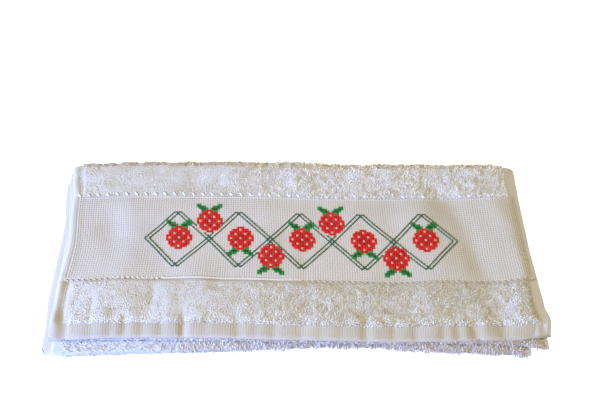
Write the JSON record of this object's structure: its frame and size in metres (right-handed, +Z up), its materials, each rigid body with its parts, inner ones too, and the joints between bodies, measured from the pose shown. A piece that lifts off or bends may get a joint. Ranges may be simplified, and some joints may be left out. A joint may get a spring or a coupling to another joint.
{
  "type": "guest towel",
  "caption": "Cotton guest towel folded in half twice, hems to the front, with a counted-thread band across the top layer, lying flat.",
  "frame": {"origin": "centre of the folded towel's box, on the surface it lies on", "axes": "+X across the cloth, from its left side to its right seen from the front; -Y towards the front, where both end hems lie; +Z up"},
  "size_m": [0.3164, 0.1386, 0.0139],
  "materials": {
    "cotton_terry": "soft looped cotton terry with a flat woven band, matte"
  },
  "bodies": {
    "root": {"towel": "cotton_terry"}
  },
  "joints": []
}
